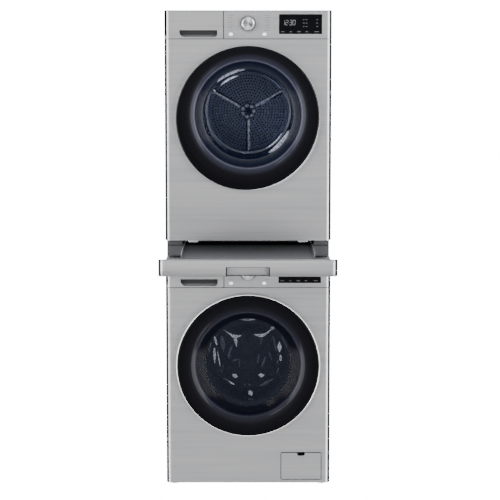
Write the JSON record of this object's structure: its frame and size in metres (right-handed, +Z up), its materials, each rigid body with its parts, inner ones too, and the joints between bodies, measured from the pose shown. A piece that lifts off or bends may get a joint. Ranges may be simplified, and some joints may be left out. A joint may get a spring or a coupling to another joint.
{
  "type": "washer dryer stack",
  "caption": "Front-loading washer with a heat-pump dryer stacked on it by a kit with a pull-out shelf; round doors, drums, drawers, knobs, buttons and a filter flap all move.",
  "frame": {"origin": "centre of the whole object's footprint (shelf pulled out) on the floor", "axes": "+Z up, +X to the right as seen from the front, +Y towards the back; the doors face -Y"},
  "size_m": [0.6, 1.09, 1.735],
  "materials": {
    "brushed_steel": "fine horizontal brushing on the fronts, clear-coated",
    "cabinet_paint": "grey powder coat, satin",
    "zinc_sheet": "galvanised sheet, dull",
    "tinted_cover": "clear tinted acrylic, polished",
    "door_moulding": "moulded black plastic, satin",
    "silver_moulding": "silver-lacquered plastic",
    "bright_trim": "bright plated",
    "bowl_glass": "moulded glass",
    "display_black": "black acrylic window",
    "knob_metal": "turned and satin anodised",
    "button_silver": "silver-lacquered plastic",
    "stainless_drum": "rolled stainless steel, semi-bright",
    "lifter_plastic": "grey-blue moulding",
    "dark_moulding": "black moulded plastic",
    "grey_moulding": "grey moulded plastic",
    "gasket_rubber": "grey rubber",
    "foot_rubber": "black rubber over a steel stud",
    "screw_steel": "zinc-plated screws",
    "works_metal": "bare cast and sheet metal",
    "works_iron": "black-painted iron",
    "concrete_grey": "raw cast concrete block"
  },
  "bodies": {
    "cabinet": {"cabinet_screws": "screw_steel", "control_boards": "dark_moulding", "display_windows": "display_black", "door_hinges_and_locks": "works_metal", "drawer_housings": "grey_moulding", "dryer_back_panel": "zinc_sheet", "dryer_base": "dark_moulding", "dryer_belt": "foot_rubber", "dryer_bulkheads": "grey_moulding", "dryer_control_panel": "brushed_steel", "dryer_drive_motor": "works_iron", "dryer_front_panel": "brushed_steel", "dryer_heat_pump": "works_metal", "dryer_lint_filter": "grey_moulding", "dryer_side_panels": "cabinet_paint", "dryer_top_panel": "cabinet_paint", "kit_brackets": "grey_moulding", "kit_frame": "dark_moulding", "rear_outlets": "dark_moulding", "washer_back_panel": "zinc_sheet", "washer_base": "dark_moulding", "washer_control_panel": "brushed_steel", "washer_counterweight": "concrete_grey", "washer_door_gasket": "gasket_rubber", "washer_drain_pump": "grey_moulding", "washer_feet": "foot_rubber", "washer_front_panel": "brushed_steel", "washer_inlet_valves": "dark_moulding", "washer_motor_stator": "works_metal", "washer_side_panels": "cabinet_paint", "washer_suspension": "works_metal", "washer_top_panel": "cabinet_paint", "washer_tub": "grey_moulding"},
    "washer_door": {"washer_door_cover": "tinted_cover", "washer_door_frame": "door_moulding", "washer_door_trim": "bright_trim", "washer_door_bowl": "bowl_glass", "washer_door_pin_and_hook": "works_metal"},
    "dryer_door": {"dryer_door_cover": "tinted_cover", "dryer_door_frame": "silver_moulding", "dryer_door_pin_and_hook": "works_metal"},
    "washer_drum_body": {"washer_drum": "stainless_drum", "washer_drum_lifters": "lifter_plastic", "washer_drum_drive": "works_metal"},
    "dryer_drum_body": {"dryer_drum": "stainless_drum", "dryer_drum_back": "stainless_drum"},
    "dryer_motor_body": {"dryer_motor_shaft": "works_metal"},
    "washer_knob": {"washer_program_knob": "knob_metal"},
    "dryer_knob": {"dryer_program_knob": "knob_metal"},
    "washer_power": {"washer_power_button": "button_silver"},
    "washer_start": {"washer_start_button": "button_silver"},
    "dryer_power": {"dryer_power_button": "button_silver"},
    "dryer_start": {"dryer_start_button": "button_silver"},
    "detergent_drawer": {"washer_detergent_drawer": "brushed_steel"},
    "water_tank": {"dryer_water_tank": "brushed_steel"},
    "shelf": {"shelf_tray": "works_iron", "shelf_front": "brushed_steel"},
    "rail_middle": {"kit_rails_middle": "works_metal"},
    "filter_flap": {"washer_filter_flap": "brushed_steel"},
    "filter_cap": {"washer_filter_cap": "dark_moulding"}
  },
  "joints": [
    {"name": "washer_door_swing", "type": "hinge", "parent": "cabinet", "child": "washer_door", "pos_m": [-0.248, -0.09, 0.451], "axis": [0, 0, -1], "range_deg": [0, 150]},
    {"name": "dryer_door_swing", "type": "hinge", "parent": "cabinet", "child": "dryer_door", "pos_m": [-0.248, -0.09, 1.349], "axis": [0, 0, -1], "range_deg": [0, 150]},
    {"name": "washer_drum_spin", "type": "hinge", "parent": "cabinet", "child": "washer_drum_body", "pos_m": [0, 0.19, 0.451], "axis": [0, 1, 0], "continuous": true},
    {"name": "dryer_drum_spin", "type": "hinge", "parent": "cabinet", "child": "dryer_drum_body", "pos_m": [0, 0.21, 1.353], "axis": [0, 1, 0], "continuous": true},
    {"name": "dryer_motor_spin", "type": "hinge", "parent": "cabinet", "child": "dryer_motor_body", "pos_m": [0.17, 0.3, 0.974], "axis": [0, 1, 0], "continuous": true},
    {"name": "washer_knob_turn", "type": "hinge", "parent": "cabinet", "child": "washer_knob", "pos_m": [0, -0.085, 0.7895], "axis": [0, 1, 0], "continuous": true},
    {"name": "dryer_knob_turn", "type": "hinge", "parent": "cabinet", "child": "dryer_knob", "pos_m": [0, -0.085, 1.6875], "axis": [0, 1, 0], "continuous": true},
    {"name": "washer_power_press", "type": "slide", "parent": "cabinet", "child": "washer_power", "axis": [0, 1, 0], "range_m": [0, 0.0012], "stiffness_N_per_m": 400, "springref_m": -0.001},
    {"name": "washer_start_press", "type": "slide", "parent": "cabinet", "child": "washer_start", "axis": [0, 1, 0], "range_m": [0, 0.0012], "stiffness_N_per_m": 400, "springref_m": -0.001},
    {"name": "dryer_power_press", "type": "slide", "parent": "cabinet", "child": "dryer_power", "axis": [0, 1, 0], "range_m": [0, 0.0012], "stiffness_N_per_m": 400, "springref_m": -0.001},
    {"name": "dryer_start_press", "type": "slide", "parent": "cabinet", "child": "dryer_start", "axis": [0, 1, 0], "range_m": [0, 0.0012], "stiffness_N_per_m": 400, "springref_m": -0.001},
    {"name": "detergent_drawer_slide", "type": "slide", "parent": "cabinet", "child": "detergent_drawer", "axis": [0, -1, 0], "range_m": [0, 0.2]},
    {"name": "water_tank_slide", "type": "slide", "parent": "cabinet", "child": "water_tank", "axis": [0, -1, 0], "range_m": [0, 0.34]},
    {"name": "shelf_slide", "type": "slide", "parent": "cabinet", "child": "shelf", "axis": [0, 1, 0], "range_m": [0, 0.47]},
    {"name": "rail_middle_slide", "type": "slide", "parent": "cabinet", "child": "rail_middle", "axis": [0, 1, 0], "range_m": [0, 0.235]},
    {"name": "filter_flap_fold", "type": "hinge", "parent": "cabinet", "child": "filter_flap", "pos_m": [0.19425, -0.07, 0.029], "axis": [1, 0, 0], "range_deg": [0, 90]},
    {"name": "filter_cap_turn", "type": "hinge", "parent": "cabinet", "child": "filter_cap", "pos_m": [0.19425, -0.053, 0.072], "axis": [0, -1, 0], "range_deg": [0, 100]}
  ],
  "couplings": [
    {"joint": "dryer_motor_spin", "follows": "dryer_drum_spin", "ratio": 44.375},
    {"joint": "rail_middle_slide", "follows": "shelf_slide", "ratio": 0.5}
  ]
}
